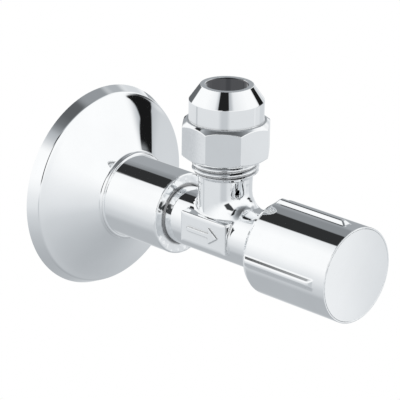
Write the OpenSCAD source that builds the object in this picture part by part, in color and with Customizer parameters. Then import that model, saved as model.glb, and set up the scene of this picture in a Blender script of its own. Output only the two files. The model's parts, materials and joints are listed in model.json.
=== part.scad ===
// Angle stop valve: a wall inlet, a compression outlet and a round handle.
// The origin is where the valve axis meets the wall face. The valve stands out
// of the wall along -Y and its outlet points up along +Z. A length called s is
// measured from the wall face along the valve axis, and z is the height above it.

/* [Rosette] */
// Outer diameter of the rosette at the wall
rosette_d = 53.6; // [52:0.2:60]
// Diameter of the front edge of its rim band
rim_front_d = 50.2; // [48:0.2:51]
// Height of the rim band
rim_h = 3.1; // [2:0.1:4]
// Distance from the wall to the front of the rosette's collar
rosette_depth = 12; // [11.4:0.1:14]
// How hollow the bell between rim and collar is; 1 is a straight cone
bell_power = 1.15; // [1:0.05:1.6]
// Sheet thickness of the rosette
sheet_t = 0.8; // [0.6:0.1:1]

/* [Body] */
// Diameter of the round neck that the rosette slides on
neck_d = 21; // [20.8:0.1:22]
// Distance from the wall to the front shoulder of the neck
neck_end = 29.8; // [29:0.1:32]
// Diameter of the barrel between neck and handle
barrel_d = 14.9; // [14.8:0.1:15.6]
// How far the threaded tail reaches behind the wall face
tail_len = 16; // [16:0.5:20]
// Diameter of the waterway in the tail
inlet_bore_d = 13; // [10:0.5:14]
// Length of the raised pad on the barrel's side
pad_len = 15.2; // [12:0.2:16]
// Height of the raised pad
pad_h = 8.1; // [6:0.1:9]
// Distance of the pad's face from the valve axis
pad_reach = 8.35; // [8:0.05:8.8]

/* [Outlet] */
// Distance from the wall to the outlet axis
outlet_s = 43.8; // [43:0.1:45]
// Diameter of the plain stretch below the outlet thread
branch_d = 13.5; // [13:0.1:14.4]
// Outside diameter of the supply tube
tube_d = 10; // [9.5:0.5:10]
// Distance across the flats of the compression nut
nut_af = 21.1; // [21:0.1:22]
// Number of flats on the compression nut
nut_sides = 8; // [6, 8]
// Diameter of the nut's round collar
nut_collar_d = 18.6; // [18.4:0.1:19.4]
// Turn of the nut's flats about the outlet axis
nut_turn = 17; // [0:1:44]

/* [Handle] */
// Outer diameter of the handle
handle_d = 23.8; // [23.6:0.1:26]
// Distance from the wall to the back edge of the handle
handle_back = 60.7; // [60.4:0.1:61]
// Distance from the wall to the front face of the handle
handle_front = 87; // [87:0.1:90]
// Number of grip ribs
rib_count = 4; // [2:1:8]
// Width of a rib at its foot
rib_w = 2.6; // [2:0.1:3]
// Height of a rib above the handle
rib_h = 0.95; // [0.6:0.05:1.2]
// Distance from the end of a rib to the front face
rib_front_gap = 2.8; // [2:0.1:8]

/* [Valve action] */
// Travel of the piston between shut and fully open
lift = 5; // [3:0.5:5]
// Number of teeth on the stem's splined end
spline_teeth = 18; // [12:1:24]

/* [Hidden] */
$fn = 96;

eps = 0.01;          // overlap of cutting shapes
gap = 0.05;          // radial clearance of pieces that turn or slide
snug = 0.02;         // clearance of pieces that rest on each other

// G 1/2 and G 3/8 pipe threads, cut as rings with flat crests and roots. The
// crests of the G 1/2 are cut down from 20.955 to 20.68, inside class B's limits.
inlet_thread_r = 20.68 / 2;
inlet_pitch = 1.814;
inlet_thread_depth = 1.025;
outlet_thread_r = 16.662 / 2;
outlet_pitch = 1.337;
outlet_thread_depth = 0.856;
crest = 0.16;        // crest width as a share of the pitch
root = 0.16;         // root width as a share of the pitch

neck_r = neck_d / 2;
barrel_r = barrel_d / 2;
branch_r = branch_d / 2;
handle_r = handle_d / 2;
tube_r = tube_d / 2;

// Rosette collar
rosette_hole_r = neck_r + 0.1;
rosette_collar_r = neck_r + 0.95;
collar_h = 3;
lip_h = 1.2;
lip_flare = 0.5;
lip_round = 0.35;
bell_steps = 14;
// The sheet measured along the valve axis in the bell, and across it in the rim
bell_t = sheet_t + 0.1;
rim_t = sheet_t + 0.2;
crease_ease = 0.3;

// Tail, from the wall face backwards
seal_groove = [-3.6, -1.2];
seal_groove_r = 9.1;
seal_r = 10.1;
thread_start = -tail_len + 0.9;
inlet_turns = floor((seal_groove[0] - 0.5 - thread_start) / inlet_pitch);

// Waterway and headpart seat inside the barrel
orifice_r = 3.5;
seat_s = 37;
seat_lip_r = 4.25;
seat_lip_h = 1;
chamber_r = 5.5;
barrel_end = 63.4;
head_thread_r = 6;
head_thread_depth = 0.5;
head_thread_pitch = 1;
head_thread_s = 52.5;
head_thread_turns = 9;

// Outlet branch
branch_top = 26.8;
tube_hole_r = tube_r + 0.12;
socket_floor = 17;
outlet_bore_r = 4.2;
thread_foot = 15.6;
outlet_turns = floor((branch_top - 0.9 - thread_foot) / outlet_pitch);
seat_cone_z = branch_top - 1.4;

// Compression nut
nut_foot = 19.15;
nut_shoulder = 28.6;
nut_collar_top = 33.6;
nut_top = 37.5;
nut_lip_r = 6.56;
nut_collar_r = nut_collar_d / 2;
nut_corner_r = nut_af / 2 / cos(180 / nut_sides);
nut_outer_r = nut_corner_r + 0.4;   // of the shape that chamfers the corners
nut_chamfer_r = 9.95;
nut_chamfer_angle = 37;
nut_chamfer_h = (nut_outer_r - nut_chamfer_r) * tan(nut_chamfer_angle);
nut_bore_r = outlet_thread_r + gap;
ferrule_r = 6.6;
ferrule_room_r = 6.9;
nut_cone_z = 30.1;

// Headpart, stem and piston
skirt_s = 46.8;
skirt_r = 5.35;
guide_r = 4.3;
prong_s = 40.3;
prong_w = 2.8;
prong_r = 4.6;
hex_s = barrel_end + 0.8;
hex_end = hex_s + 4.6;
hex_corner_r = 14 / 2 / cos(30);
nose_end = 73.2;
nose_r = 5.2;
stem_bore_r = 3.55;
shoulder_s = 63.9;
stem_r = stem_bore_r - gap;
stem_thread_r = 2.5;
stem_tip = 48.9;
collar_s = [61.4, 63];
o_ring_s = [65.8, 68.8];
o_ring_r = 0.48;
o_groove_r = 2.55;
o_groove_w = 1.3;
clip_s = [nose_end + 0.1, nose_end + 0.9];
clip_groove_r = 2.9;
stem_end = 80;
piston_end = 56;
flange_s = [39.6, 41.5];
piston_rim_s = 38.2;
flange_r = 5.3;
piston_ring_s = 48.2;
piston_groove_r = 3.36;
disc_r = 4.5;
screw3_r = 1.5;
screw4_r = 2;

// Handle
shell_bore_r = 10.6;
insert_bore_r = 8.5;
insert_s = handle_back + 1;
web_s = [80.5, 83];
cap_s = handle_front - 1.3;
cap_r = handle_r - 0.5;
edge = 1.1;          // length of the handle's back chamfer
edge_drop = 0.6;     // how far that chamfer comes in

// The child's +Z runs out of the wall along the valve axis.
module on_axis() rotate([90, 0, 0]) children();

// The child's +Z runs up the outlet axis.
module on_outlet() translate([0, -outlet_s, 0]) children();

// A solid of revolution about the valve axis from [radius, s] points.
module turned(points) on_axis() rotate_extrude() polygon(points);

// A plain ring about the valve axis between two distances from the wall.
module ring(r_out, r_in, s) turned([[r_in, s[0]], [r_out, s[0]], [r_out, s[1]], [r_in, s[1]]]);

// Outline of a ring thread: crests at r, roots at r - depth, rising from a.
function thread(r, depth, pitch, turns, a) = [
    for (i = [0 : turns - 1]) let (b = a + i * pitch) each [
        [r, b], [r, b + crest * pitch],
        [r - depth, b + pitch * (1 + crest - root) / 2],
        [r - depth, b + pitch * (1 + crest + root) / 2]]];

// Where the last turn of such a thread ends.
function thread_end(pitch, turns, a) = a + turns * pitch;

// Height of the rosette's outer face where t runs from the rim to the collar.
function bell_s(t) = rim_h + (rosette_depth - lip_h - rim_h) * pow(t, bell_power);

// Radius of that face at the same t.
function bell_r(t) = rim_front_d / 2 + (rosette_collar_r + lip_flare - rim_front_d / 2) * t;

module body_outside() {
    turned(concat(
        [[0, -tail_len], [inlet_thread_r - inlet_thread_depth, -tail_len]],
        thread(inlet_thread_r, inlet_thread_depth, inlet_pitch, inlet_turns, thread_start),
        [[inlet_thread_r, thread_end(inlet_pitch, inlet_turns, thread_start)],
         [inlet_thread_r, seal_groove[0]], [seal_groove_r, seal_groove[0]],
         [seal_groove_r, seal_groove[1]], [neck_r, seal_groove[1]],
         [neck_r, neck_end - 0.7], [neck_r - 0.15, neck_end - 0.35],
         [neck_r - 0.5, neck_end - 0.1], [neck_r - 1, neck_end],
         [barrel_r + 0.7, neck_end + 0.2], [barrel_r + 0.15, neck_end + 0.4],
         [barrel_r, neck_end + 0.8],
         [barrel_r, barrel_end - 0.3], [barrel_r - 0.3, barrel_end], [0, barrel_end]]));
    on_outlet() branch_outside();
    pad();
}

// The branch leaves the barrel with a short flare and ends in a ring thread.
module branch_outside() {
    rotate_extrude() polygon(concat(
        [[0, 0], [barrel_r - 0.1, 0], [barrel_r - 0.1, barrel_r - 2], [branch_r, barrel_r + 1.6],
         [branch_r, thread_foot - 1.2]],
        thread(outlet_thread_r, outlet_thread_depth, outlet_pitch, outlet_turns, thread_foot),
        [[outlet_thread_r, thread_end(outlet_pitch, outlet_turns, thread_foot)],
         [outlet_thread_r, branch_top - 0.6], [outlet_thread_r - 0.6, branch_top],
         [0, branch_top]]));
}

// Flat raised pad with a plain flow arrow on it.
module pad() {
    pad_s = 36.7;
    pad_z = 0.9;
    translate([-pad_reach, -pad_s - pad_len, pad_z - pad_h / 2])
        cube([pad_reach, pad_len, pad_h]);
    arrow_w = 1.2;
    head_w = 4.4;
    arrow_t = 0.3;
    start = pad_s + 2.4;
    neck = pad_s + pad_len - 5.6;
    tip = pad_s + pad_len - 2.4;
    translate([-pad_reach - arrow_t, 0, pad_z]) rotate([90, 0, 90])
        linear_extrude(arrow_t + eps) polygon([
            [-start, arrow_w / 2], [-neck, arrow_w / 2], [-neck, head_w / 2], [-tip, 0],
            [-neck, -head_w / 2], [-neck, -arrow_w / 2], [-start, -arrow_w / 2]]);
}

// The waterway: tail bore, orifice with a raised seat, chamber and headpart thread.
module body_inside() {
    narrow_s = 20;
    turned(concat(
        [[0, -tail_len - 1], [inlet_bore_d / 2 + 0.6, -tail_len - 1],
         [inlet_bore_d / 2 + 0.6, -tail_len], [inlet_bore_d / 2, -tail_len + 0.6],
         [inlet_bore_d / 2, narrow_s], [orifice_r, seat_s - 3.5], [orifice_r, seat_s],
         [seat_lip_r, seat_s], [seat_lip_r, seat_s - seat_lip_h],
         [chamber_r, seat_s - seat_lip_h],
         [chamber_r, head_thread_s]],
        thread(chamber_r, -head_thread_depth, head_thread_pitch, head_thread_turns,
               head_thread_s),
        [[chamber_r, thread_end(head_thread_pitch, head_thread_turns, head_thread_s)],
         [chamber_r, barrel_end - 1], [head_thread_r + 0.1, barrel_end - 0.4],
         [head_thread_r + 0.1, barrel_end + 1], [0, barrel_end + 1]]));
    on_outlet() rotate_extrude() polygon([
        [0, 0], [outlet_bore_r, 0], [outlet_bore_r, socket_floor],
        [tube_hole_r, socket_floor], [tube_hole_r, seat_cone_z],
        [tube_hole_r + branch_top - seat_cone_z + 1, branch_top + 1], [0, branch_top + 1]]);
}

module valve_body() {
    color("gainsboro") difference() {
        body_outside();
        body_inside();
    }
}

module inlet_seal_ring() {
    color("white") ring(seal_r, seal_groove_r + snug,
                        [seal_groove[0] + snug, seal_groove[1] - snug]);
}

module wall_rosette() {
    collar_foot = rosette_depth - collar_h;
    outer = [for (i = [0 : bell_steps]) let (t = i / bell_steps) [bell_r(t), bell_s(t)]];
    inner = [for (i = [bell_steps : -1 : 0]) let (t = i / bell_steps)
             [bell_r(t) - crease_ease * (1 - t), bell_s(t) - bell_t]];
    lip = [[rosette_collar_r + lip_flare / 4, rosette_depth - lip_h * 3 / 4],
           [rosette_collar_r, rosette_depth - lip_h / 2],
           [rosette_collar_r, rosette_depth - lip_round],
           [rosette_collar_r - lip_round, rosette_depth],
           [rosette_hole_r, rosette_depth - lip_round]];
    color("gainsboro") turned(concat(
        [[rosette_d / 2, 0]], outer, lip,
        [[rosette_hole_r, collar_foot], [rosette_collar_r, collar_foot]],
        inner, [[rosette_d / 2 - rim_t, 0]]));
}

// Plastic ring under the collar that holds the rosette on the neck by friction.
module rosette_grip_ring() {
    top = rosette_depth - collar_h - snug;
    color("dimgray") turned([
        [neck_r + gap, top - 2.6], [neck_r + 1.9, top - 2.6], [neck_r + 1.9, top - 1.4],
        [neck_r + 1.1, top - 0.6], [neck_r + 1.1, top], [neck_r + gap, top]]);
}

// Brass olive that the nut squeezes onto the tube.
module ferrule() {
    bottom_r = tube_hole_r + 0.25;
    bottom_z = seat_cone_z + (bottom_r - tube_hole_r) + gap;
    shoulder_z = bottom_z + ferrule_r - bottom_r;
    top_cone_z = nut_cone_z + ferrule_room_r - ferrule_r - gap;
    color("goldenrod") on_outlet() rotate_extrude() polygon([
        [tube_hole_r, bottom_z], [bottom_r, bottom_z], [ferrule_r, shoulder_z],
        [ferrule_r, top_cone_z], [bottom_r, top_cone_z + ferrule_r - bottom_r],
        [tube_hole_r, top_cone_z + ferrule_r - bottom_r]]);
}

module compression_nut() {
    bore_top = nut_shoulder - 1;
    inner_turns = floor((bore_top - nut_foot - 1) / outlet_pitch);
    inner = thread(nut_bore_r, -0.6, outlet_pitch, inner_turns, nut_foot + 0.6);
    color("gainsboro") on_outlet() difference() {
        union() {
            intersection() {
                rotate(nut_turn) cylinder(r = nut_corner_r, h = nut_shoulder, $fn = nut_sides);
                rotate_extrude() polygon([
                    [0, nut_foot], [nut_chamfer_r, nut_foot],
                    [nut_outer_r, nut_foot + nut_chamfer_h],
                    [nut_outer_r, nut_shoulder - nut_chamfer_h],
                    [nut_chamfer_r, nut_shoulder], [0, nut_shoulder]]);
            }
            rotate_extrude() polygon([
                [0, nut_foot + 1], [nut_collar_r, nut_foot + 1], [nut_collar_r, nut_collar_top],
                [nut_lip_r, nut_top], [0, nut_top]]);
        }
        rotate_extrude() polygon(concat(
            [[0, nut_foot - 1], [nut_bore_r + 0.6, nut_foot - 1], [nut_bore_r + 0.6, nut_foot],
             [nut_bore_r, nut_foot + 0.6]],
            inner,
            [[nut_bore_r, thread_end(outlet_pitch, inner_turns, nut_foot + 0.6)],
             [nut_bore_r, bore_top], [ferrule_room_r, bore_top], [ferrule_room_r, nut_cone_z],
             [tube_hole_r, nut_cone_z + ferrule_room_r - tube_hole_r],
             [tube_hole_r, nut_top - 0.3], [tube_hole_r + 0.3, nut_top],
             [tube_hole_r + 0.3, nut_top + 1], [0, nut_top + 1]]));
    }
}

// Screwed-in head: skirt with two guide prongs, thread, hexagon and stem bearing.
module headpart_body() {
    r = head_thread_r - gap;
    color("darkkhaki") {
        difference() {
            union() {
                turned(concat(
                    [[0, skirt_s], [skirt_r, skirt_s], [skirt_r, head_thread_s - 0.6]],
                    thread(skirt_r, gap - head_thread_depth, head_thread_pitch,
                           head_thread_turns, head_thread_s),
                    [[skirt_r, thread_end(head_thread_pitch, head_thread_turns,
                                          head_thread_s)],
                     [skirt_r, barrel_end - 1], [r, barrel_end - 0.3], [r, hex_s],
                     [r, hex_s + 1], [0, hex_s + 1]]));
                on_axis() translate([0, 0, hex_s])
                    cylinder(r = hex_corner_r, h = hex_end - hex_s, $fn = 6);
                ring(nose_r, 0, [hex_end - eps, nose_end]);
            }
            turned([[0, skirt_s - 1], [guide_r, skirt_s - 1], [guide_r, shoulder_s],
                    [stem_bore_r, shoulder_s], [stem_bore_r, nose_end + 1],
                    [0, nose_end + 1]]);
        }
        intersection() {
            ring(skirt_r, prong_r, [prong_s, skirt_s + 0.5]);
            translate([-chamber_r, -skirt_s - 1, -prong_w / 2])
                cube([2 * chamber_r, skirt_s - prong_s + 2, prong_w]);
        }
    }
}

module headpart_gasket() {
    color("firebrick") ring(barrel_r - 0.1, head_thread_r + gap, [barrel_end + snug, hex_s - snug]);
}

// The stem turns in place: thread, thrust collar, ring grooves and splined end.
module stem() {
    thread_turns = 5;
    thread_pitch = 2;
    spline_r = stem_r - 0.05;
    groove = o_groove_w / 2;
    color("darkkhaki") difference() {
        union() {
            turned(concat(
                [[0, stem_tip], [stem_thread_r - 0.5, stem_tip]],
                thread(stem_thread_r, 0.5, thread_pitch, thread_turns, stem_tip + 0.5),
                [[stem_thread_r, thread_end(thread_pitch, thread_turns, stem_tip + 0.5)],
                 [stem_thread_r, collar_s[0]], [guide_r - 0.1, collar_s[0]],
                 [guide_r - 0.1, collar_s[1]], [stem_r, collar_s[1]]],
                [for (c = o_ring_s) each [[stem_r, c - groove], [o_groove_r, c - groove],
                                          [o_groove_r, c + groove], [stem_r, c + groove]]],
                [[stem_r, clip_s[0]], [clip_groove_r, clip_s[0]], [clip_groove_r, clip_s[1]],
                 [clip_groove_r, clip_s[1] + 0.2], [0, clip_s[1] + 0.2]]));
            on_axis() translate([0, 0, clip_s[1]])
                linear_extrude(stem_end - clip_s[1]) spline(spline_r);
        }
        ring(screw4_r + snug, 0, [stem_end - 5, stem_end + 1]);
    }
}

// Star outline with one tooth per step.
module spline(r) {
    tooth = 0.3;
    step = 360 / spline_teeth;
    polygon([for (i = [0 : spline_teeth - 1]) each [
        [r * cos(i * step), r * sin(i * step)],
        [(r - tooth) * cos((i + 0.5) * step), (r - tooth) * sin((i + 0.5) * step)]]]);
}

module o_ring(mid_r, section_r, s) {
    on_axis() translate([0, 0, s]) rotate_extrude() translate([mid_r, 0]) circle(section_r);
}

module stem_o_rings() {
    color("black") for (s = o_ring_s) o_ring(stem_bore_r - snug - o_ring_r, o_ring_r, s);
}

module thrust_washer() {
    color("white") ring(guide_r - 0.1, stem_r + snug, [collar_s[1] + snug, shoulder_s - gap]);
}

// Spring clip with a gap, snapped into the stem's groove in front of the nose.
module stem_circlip() {
    clip_r = 4.6;
    color("silver") difference() {
        ring(clip_r, clip_groove_r + snug, [clip_s[0] + snug, clip_s[1] - snug]);
        translate([-1, -clip_s[1] - 1, 0]) cube([2, 3, clip_r + 1]);
    }
}

// The piston carries the sealing disc; the prongs stop it from turning.
module piston() {
    groove = o_groove_w / 2;
    floor_s = stem_tip - lift - 0.3;
    color("darkkhaki") difference() {
        turned([[0, flange_s[0]], [disc_r + snug, flange_s[0]], [disc_r + snug, piston_rim_s],
                [flange_r, piston_rim_s], [flange_r, flange_s[1]],
                [guide_r - gap, flange_s[1]], [guide_r - gap, piston_ring_s - groove],
                [piston_groove_r, piston_ring_s - groove],
                [piston_groove_r, piston_ring_s + groove],
                [guide_r - gap, piston_ring_s + groove], [guide_r - gap, piston_end],
                [0, piston_end]]);
        ring(stem_thread_r + gap, 0, [floor_s, piston_end + 1]);
        ring(screw3_r + snug, 0, [flange_s[0] - 1, flange_s[0] + 3.6]);
        for (side = [0, 180]) rotate([0, side, 0])
            translate([guide_r - gap + snug, -flange_s[1] - 1, -prong_w / 2 - gap])
                cube([flange_r, flange_s[1] - piston_rim_s + 2, prong_w + 2 * gap]);
    }
}

module piston_o_ring() {
    section = 0.45;
    color("black") o_ring(guide_r - snug - section, section, piston_ring_s);
}

module seat_washer() {
    color("black") ring(disc_r, screw3_r + snug, [seat_s + snug, flange_s[0] - snug]);
}

module disc_washer() {
    color("silver") ring(3, screw3_r + snug, [seat_s - 0.6, seat_s]);
}

// Slotted screw that holds the disc and its washer on the piston.
module disc_screw() {
    head_s = seat_s - 0.6 - snug;
    head_r = 2.5;
    color("silver") difference() {
        turned([[0, head_s - 1.6], [head_r - 0.4, head_s - 1.6], [head_r, head_s - 1.2],
                [head_r, head_s], [screw3_r, head_s], [screw3_r, flange_s[0] + 3.2],
                [screw3_r - 0.4, flange_s[0] + 3.5], [0, flange_s[0] + 3.5]]);
        translate([-head_r - 1, -head_s + 0.8, -0.4]) cube([2 * head_r + 2, 2, 0.8]);
    }
}

// Plastic carrier inside the handle with the socket for the stem's splines.
module handle_insert() {
    socket_s = 75;
    color("dimgray") difference() {
        ring(shell_bore_r - gap, 0, [insert_s, web_s[0] - snug]);
        ring(insert_bore_r, 0, [insert_s - 1, socket_s]);
        on_axis() translate([0, 0, socket_s - 1])
            linear_extrude(web_s[0] - socket_s + 2) spline(stem_r);
    }
}

// Metal handle shell with grip ribs, a web for the screw and a seat for the cap.
module handle_shell() {
    color("gainsboro") {
        turned([
            [shell_bore_r, handle_back], [handle_r - edge_drop, handle_back],
            [handle_r, handle_back + edge], [handle_r, handle_front - 0.15],
            [handle_r - 0.15, handle_front], [cap_r + gap, handle_front],
            [cap_r + gap, cap_s - snug], [shell_bore_r, cap_s - snug],
            [shell_bore_r, web_s[1]], [screw4_r + 0.3, web_s[1]],
            [screw4_r + 0.3, web_s[0]], [shell_bore_r, web_s[0]]]);
        for (i = [0 : rib_count - 1]) on_axis() rotate(i * 360 / rib_count) rib();
    }
}

// One rib: a low ridge with sloping sides and a sloping front end.
module rib() {
    start = handle_back + edge - 0.6;
    end = handle_front - rib_front_gap;
    foot = handle_r - 0.4;
    crest_w = rib_w * 0.36;
    crest_r = handle_r + rib_h;
    slope = 1.8;
    intersection() {
        translate([0, 0, start]) linear_extrude(end - start)
            polygon([[foot, -rib_w / 2 - 0.2], [crest_r, -crest_w / 2],
                     [crest_r, crest_w / 2], [foot, rib_w / 2 + 0.2]]);
        translate([0, rib_w, 0]) rotate([90, 0, 0]) linear_extrude(2 * rib_w)
            polygon([[foot, start], [handle_r, start + 0.6], [crest_r, start + 1.2],
                     [crest_r, end - slope], [foot, end]]);
    }
}

// Cross-slotted screw from the front through the web into the stem.
module handle_screw() {
    head_r = 3.5;
    head_h = 2.2;
    slot = 0.9;
    color("silver") difference() {
        turned(concat(
            [[0, stem_end - 4.4]],
            thread(screw4_r, 0.3, 0.7, 4, stem_end - 4.2),
            [[screw4_r, web_s[1] + snug], [head_r, web_s[1] + snug],
             [head_r, web_s[1] + head_h - 0.7], [head_r - 0.8, web_s[1] + head_h],
             [0, web_s[1] + head_h]]));
        for (turn = [0, 90]) on_axis() rotate(turn)
            translate([-2, -slot / 2, web_s[1] + head_h - 1.2]) cube([4, slot, 2]);
    }
}

// Flat front cap with a snap ring behind it.
module handle_front_cap() {
    color("whitesmoke") turned([
        [0, cap_s], [shell_bore_r - 1.4, cap_s], [shell_bore_r - 1.4, web_s[1] + 0.3],
        [shell_bore_r - gap, web_s[1] + 0.3], [shell_bore_r - gap, cap_s], [cap_r, cap_s],
        [cap_r, handle_front - 0.12], [cap_r - 0.12, handle_front], [0, handle_front]]);
}

valve_body();
inlet_seal_ring();
wall_rosette();
rosette_grip_ring();
ferrule();
compression_nut();
headpart_body();
headpart_gasket();
stem();
stem_o_rings();
thrust_washer();
stem_circlip();
piston();
piston_o_ring();
seat_washer();
disc_washer();
disc_screw();
handle_insert();
handle_shell();
handle_screw();
handle_front_cap();
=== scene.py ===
"""Looks of the angle stop valve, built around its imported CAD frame.

Lengths are in millimetres until a mesh is made, s is the distance from the wall face
along the valve axis (s = -y), and z is the height above that axis.
"""
import json
import math

import bpy
import numpy as np
import openvdb
from mathutils import Matrix, Vector


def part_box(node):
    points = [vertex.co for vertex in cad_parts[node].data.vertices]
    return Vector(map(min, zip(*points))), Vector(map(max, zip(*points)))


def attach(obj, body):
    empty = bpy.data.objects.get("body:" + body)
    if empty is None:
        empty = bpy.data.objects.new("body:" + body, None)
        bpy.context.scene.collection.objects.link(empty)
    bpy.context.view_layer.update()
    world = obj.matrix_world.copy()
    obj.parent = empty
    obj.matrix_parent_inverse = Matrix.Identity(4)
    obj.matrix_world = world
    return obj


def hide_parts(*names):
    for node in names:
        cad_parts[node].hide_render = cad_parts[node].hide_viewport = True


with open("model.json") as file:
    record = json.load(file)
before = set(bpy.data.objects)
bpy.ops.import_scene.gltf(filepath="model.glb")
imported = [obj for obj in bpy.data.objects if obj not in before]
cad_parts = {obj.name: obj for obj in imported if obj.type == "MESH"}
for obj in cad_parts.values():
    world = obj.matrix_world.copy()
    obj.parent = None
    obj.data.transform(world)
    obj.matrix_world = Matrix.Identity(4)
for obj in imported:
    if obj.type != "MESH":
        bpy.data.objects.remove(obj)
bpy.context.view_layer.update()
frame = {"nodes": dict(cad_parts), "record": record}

MM = 0.001
MOUNTS = {m["name"]: m for m in frame["record"]["mounts"]}


def box_mm(node):
    """Lowest and highest corner of a CAD node in millimetres."""
    low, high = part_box(node)
    return low / MM, high / MM


# Sizes that the frame gives
BODY_LOW, BODY_HIGH = box_mm("valve_body")
NECK_R = BODY_HIGH.x
TAIL_END = -BODY_HIGH.y
BARREL_END = -BODY_LOW.y
BRANCH_TOP = BODY_HIGH.z
INLET_R = MOUNTS["inlet_thread"]["dims"]["r_mm"]
OUTLET_S = -MOUNTS["tube_socket"]["pos_m"][1] / MM
TUBE_HOLE_R = MOUNTS["tube_socket"]["dims"]["r_mm"]
NUT_LOW, NUT_HIGH = box_mm("compression_nut")
SHELL_LOW, SHELL_HIGH = box_mm("handle_shell")
HANDLE_BACK, HANDLE_FRONT = -SHELL_HIGH.y, -SHELL_LOW.y
RIB_TOP_R = SHELL_HIGH.x
CAP_HIGH = box_mm("handle_front_cap")[1]
CAP_R = CAP_HIGH.x
ROSETTE_LOW, ROSETTE_HIGH = box_mm("wall_rosette")
ROSETTE_R, ROSETTE_DEPTH = ROSETTE_HIGH.x, -ROSETTE_LOW.y

# Valve body
NECK_END = 29.8
NECK_ROUND = 0.45
BARREL_R = 7.45
SHOULDER_FILLET = 0.4
SEAL_GROOVE = (-3.6, -1.2)
SEAL_GROOVE_R = 9.1
BRANCH_R = 6.75
BRANCH_FILLET = (0.9, 3.6)   # on the wall side and on the handle side
THREAD_FOOT = 15.6
PAD = {"s": (36.7, 51.9), "z": (-3.15, 4.95), "reach": 8.35, "edge": 0.4, "fillet": 0.5}
ARROW = {"margin": 2.4, "head": 3.2, "shaft_half": 0.6, "head_half": 2.2, "rise": 0.42}

# Passages in the body
INLET_BORE_R = 6.5
TAPER = (20, 33.5)           # where the inlet narrows down to the seat
SEAT = {"s": 37, "moat": 1.0, "bore_r": 3.5, "rim_r": 4.25}
CHAMBER_R = 5.5
CHAMBER_END = 52.5
HEAD_BORE_R = 6.02
BRANCH_BORE_R = 4.2
SOCKET_FOOT = 17             # height where the tube stops

# Pipe threads: pitch, depth and the radius of the crests
INLET_THREAD = {"pitch": 1.814, "depth": 1.02, "crest": INLET_R}
OUTLET_THREAD = {"pitch": 1.337, "depth": 0.856, "crest": 8.33}
NUT_THREAD = {"pitch": 1.337, "depth": 0.6, "crest": 8.98}
FLANK = math.radians(27.5)

# Compression nut
NUT_FLATS = 21.1
NUT_TURN = math.radians(17)
NUT_SIDES = 8
NUT_SHOULDER = 28.6
NUT_COLLAR_R = 9.3
NUT_COLLAR_TOP = 33.6
NUT_LIP_R = 6.56
NUT_CHAMFER_R = 9.95
NUT_CHAMFER = math.radians(37)
FERRULE_ROOM_R = 6.9
NUT_CONE_Z = 30.1

# Handle
HANDLE_R = 11.9
SHELL_BORE_R = 10.6
SHELL_WEB = (80.5, 83.0)
SHELL_HOLE_R = 2.3
CAP_PLATE = 1.3
CAP_GAP = 0.01
BACK_CHAMFER = (1.1, 0.6)
RIBS = 4
RIB = {"half_foot": 1.5, "half_top": 0.47, "foot_r": 11.5, "front_gap": 2.8, "slope": 1.8,
       "back_gap": 1.7, "back_slope": 1.2}

# Rosette
RIM_BACK_R = ROSETTE_R - 0.1
RIM_FRONT_R = 25.3
RIM_H = 3.1
BELL_POWER = 1.15
SHEET = 0.8
COLLAR_R = NECK_R + 0.95
HOLE_R = NECK_R + 0.1
COLLAR_H = 3.0
LIP_H = 1.2
LIP_FLARE = 0.5
LIP_FOOT = 0.87              # depth of the collar's front end ahead of the bell
BELL_STEPS = 40


# ---------------------------------------------------------------- distance fields

def round_union(a, b, radius):
    """Union of two distance fields with a fillet where they meet."""
    u = np.maximum(radius - a, 0)
    v = np.maximum(radius - b, 0)
    return np.maximum(radius, np.minimum(a, b)) - np.hypot(u, v)


def round_cut(a, b, radius):
    """Intersection of two distance fields with a rounded edge."""
    u = np.maximum(radius + a, 0)
    v = np.maximum(radius + b, 0)
    return np.minimum(-radius, np.maximum(a, b)) + np.hypot(u, v)


def round_slab(x, low, high, field, radius):
    """The part of a field between two planes, with rounded edges."""
    return round_cut(round_cut(field, low - x, radius), x - high, radius)


def inset(points, amount):
    """A counterclockwise outline moved inwards by the amount, corner by corner."""
    p = np.array(points, float)
    along = np.roll(p, -1, 0) - p
    along /= np.linalg.norm(along, axis=1)[:, None]
    inward = np.stack([-along[:, 1], along[:, 0]], 1)
    moved = []
    for i in range(len(p)):
        n1, n2 = inward[i - 1], inward[i]
        moved.append(p[i] + amount * (n1 + n2) / (1 + n1 @ n2))
    return np.array(moved)


def outline_field(x, y, points, rounding=0.0):
    """Signed distance to a counterclockwise outline whose outer corners are rounded."""
    p = inset(points, rounding) if rounding else np.array(points, float)
    best = np.full(x.shape, np.inf)
    inside = np.zeros(x.shape, bool)
    for (ax, ay), (bx, by) in zip(p, np.roll(p, -1, 0)):
        ex, ey = bx - ax, by - ay
        px, py = x - ax, y - ay
        t = np.clip((px * ex + py * ey) / (ex * ex + ey * ey), 0, 1)
        best = np.minimum(best, (px - t * ex) ** 2 + (py - t * ey) ** 2)
        if ey:
            crosses = ((ay <= y) & (y < by)) | ((by <= y) & (y < ay))
            inside ^= crosses & (px < py * ex / ey)
    return np.where(inside, -1, 1) * np.sqrt(best) - rounding


def thread_field(r, along, angle, blank, thread, rounding):
    """A helical thread left standing on a blank, given that blank's own field."""
    pitch = thread["pitch"]
    turn = along / pitch - angle / (2 * math.pi)
    off_crest = np.abs(turn - np.round(turn)) * pitch
    crest_half = 0.11 * pitch
    flank = (off_crest - crest_half - (thread["crest"] - r) * math.tan(FLANK)) * math.cos(FLANK)
    ridge = round_cut(blank, flank, rounding)
    core = np.maximum(blank, r - (thread["crest"] - thread["depth"]))
    return round_union(core, ridge, rounding)


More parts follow.
